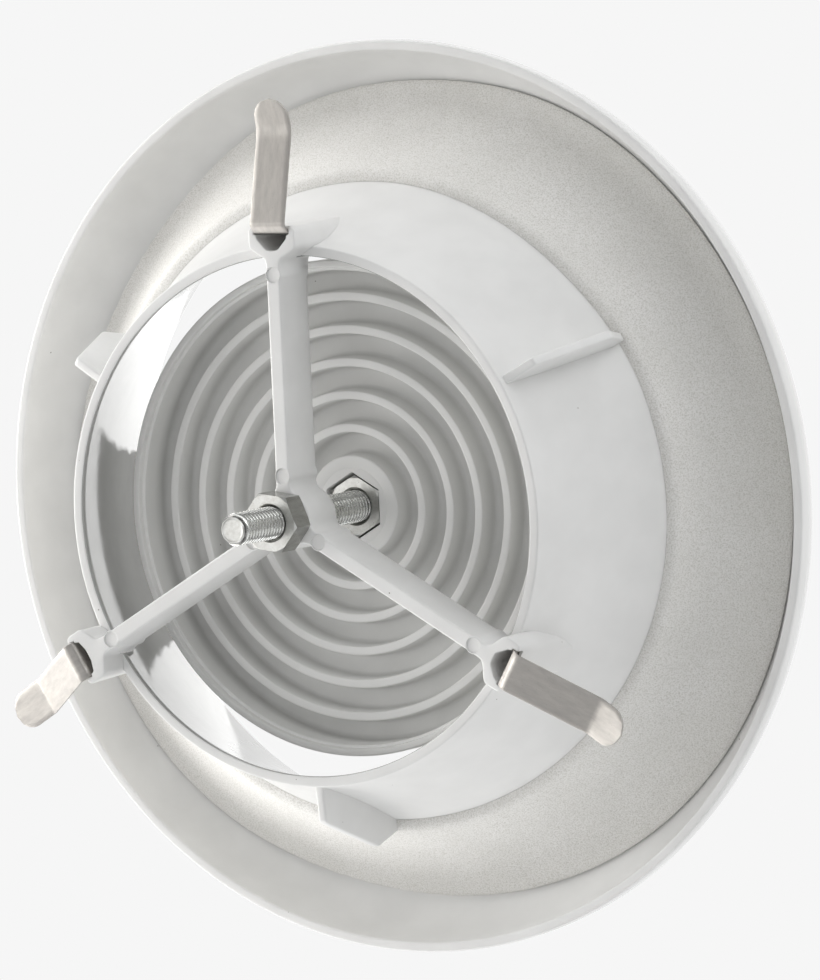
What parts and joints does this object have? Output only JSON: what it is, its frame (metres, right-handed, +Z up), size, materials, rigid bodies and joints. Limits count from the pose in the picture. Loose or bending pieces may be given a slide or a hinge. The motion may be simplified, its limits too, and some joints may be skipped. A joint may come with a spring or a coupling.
{
  "type": "ceiling air diffuser",
  "caption": "Round plastic disc valve for a ceiling duct outlet: flared body with spoked hub, ribbed disc on a threaded stud, foam seal and spring clips that grip the duct.",
  "frame": {"origin": "centre of the plane where the flange's edge meets the ceiling", "axes": "+Z up into the duct along the valve's axis, +Y along the first spoke"},
  "size_m": [0.168, 0.168, 0.0709],
  "materials": {
    "body_plastic": "white moulded plastic, satin outside and polished in the bell mouth",
    "disc_plastic": "white moulded plastic, satin",
    "foam": "fine closed-cell foam, pale grey",
    "zinc": "bright zinc plate",
    "spring": "rolled spring steel, satin"
  },
  "bodies": {
    "body": {"valve_body": "body_plastic", "foam_seal_ring": "foam", "clip_foot_1": "spring", "clip_foot_2": "spring", "clip_foot_3": "spring"},
    "stud": {"threaded_stud": "zinc"},
    "disc": {"centre_disc": "disc_plastic", "pocket_nut": "zinc"},
    "lock_nut": {"lock_nut": "zinc"},
    "clip_1": {"clip_leaf_1": "spring"},
    "clip_2": {"clip_leaf_2": "spring"},
    "clip_3": {"clip_leaf_3": "spring"}
  },
  "joints": [
    {"name": "stud_travel", "type": "slide", "parent": "body", "child": "stud", "axis": [0, 0, 1], "range_m": [-0.01401, 0.00901]},
    {"name": "disc_turn", "type": "hinge", "parent": "stud", "child": "disc", "pos_m": [0, 0, 0.016], "axis": [0, 0, 1], "range_deg": [-5040, 3240]},
    {"name": "lock_nut_turn", "type": "hinge", "parent": "body", "child": "lock_nut", "pos_m": [0, 0, 0.0429], "axis": [0, 0, 1], "range_deg": [0, 1080]},
    {"name": "clip_1_flex", "type": "hinge", "parent": "body", "child": "clip_1", "pos_m": [0, 0.0519, 0.0403], "axis": [-1, 0, 0], "range_deg": [-5, 61], "stiffness_Nm_per_rad": 0.3},
    {"name": "clip_2_flex", "type": "hinge", "parent": "body", "child": "clip_2", "pos_m": [0.04495, -0.02595, 0.0403], "axis": [0.5, 0.866, 0], "range_deg": [-5, 57], "stiffness_Nm_per_rad": 0.3},
    {"name": "clip_3_flex", "type": "hinge", "parent": "body", "child": "clip_3", "pos_m": [-0.04495, -0.02595, 0.0403], "axis": [0.5, -0.866, 0], "range_deg": [-5, 40], "stiffness_Nm_per_rad": 0.3}
  ],
  "couplings": [
    {"joint": "stud_travel", "follows": "disc_turn", "m_per_rad": 0.00015915}
  ]
}
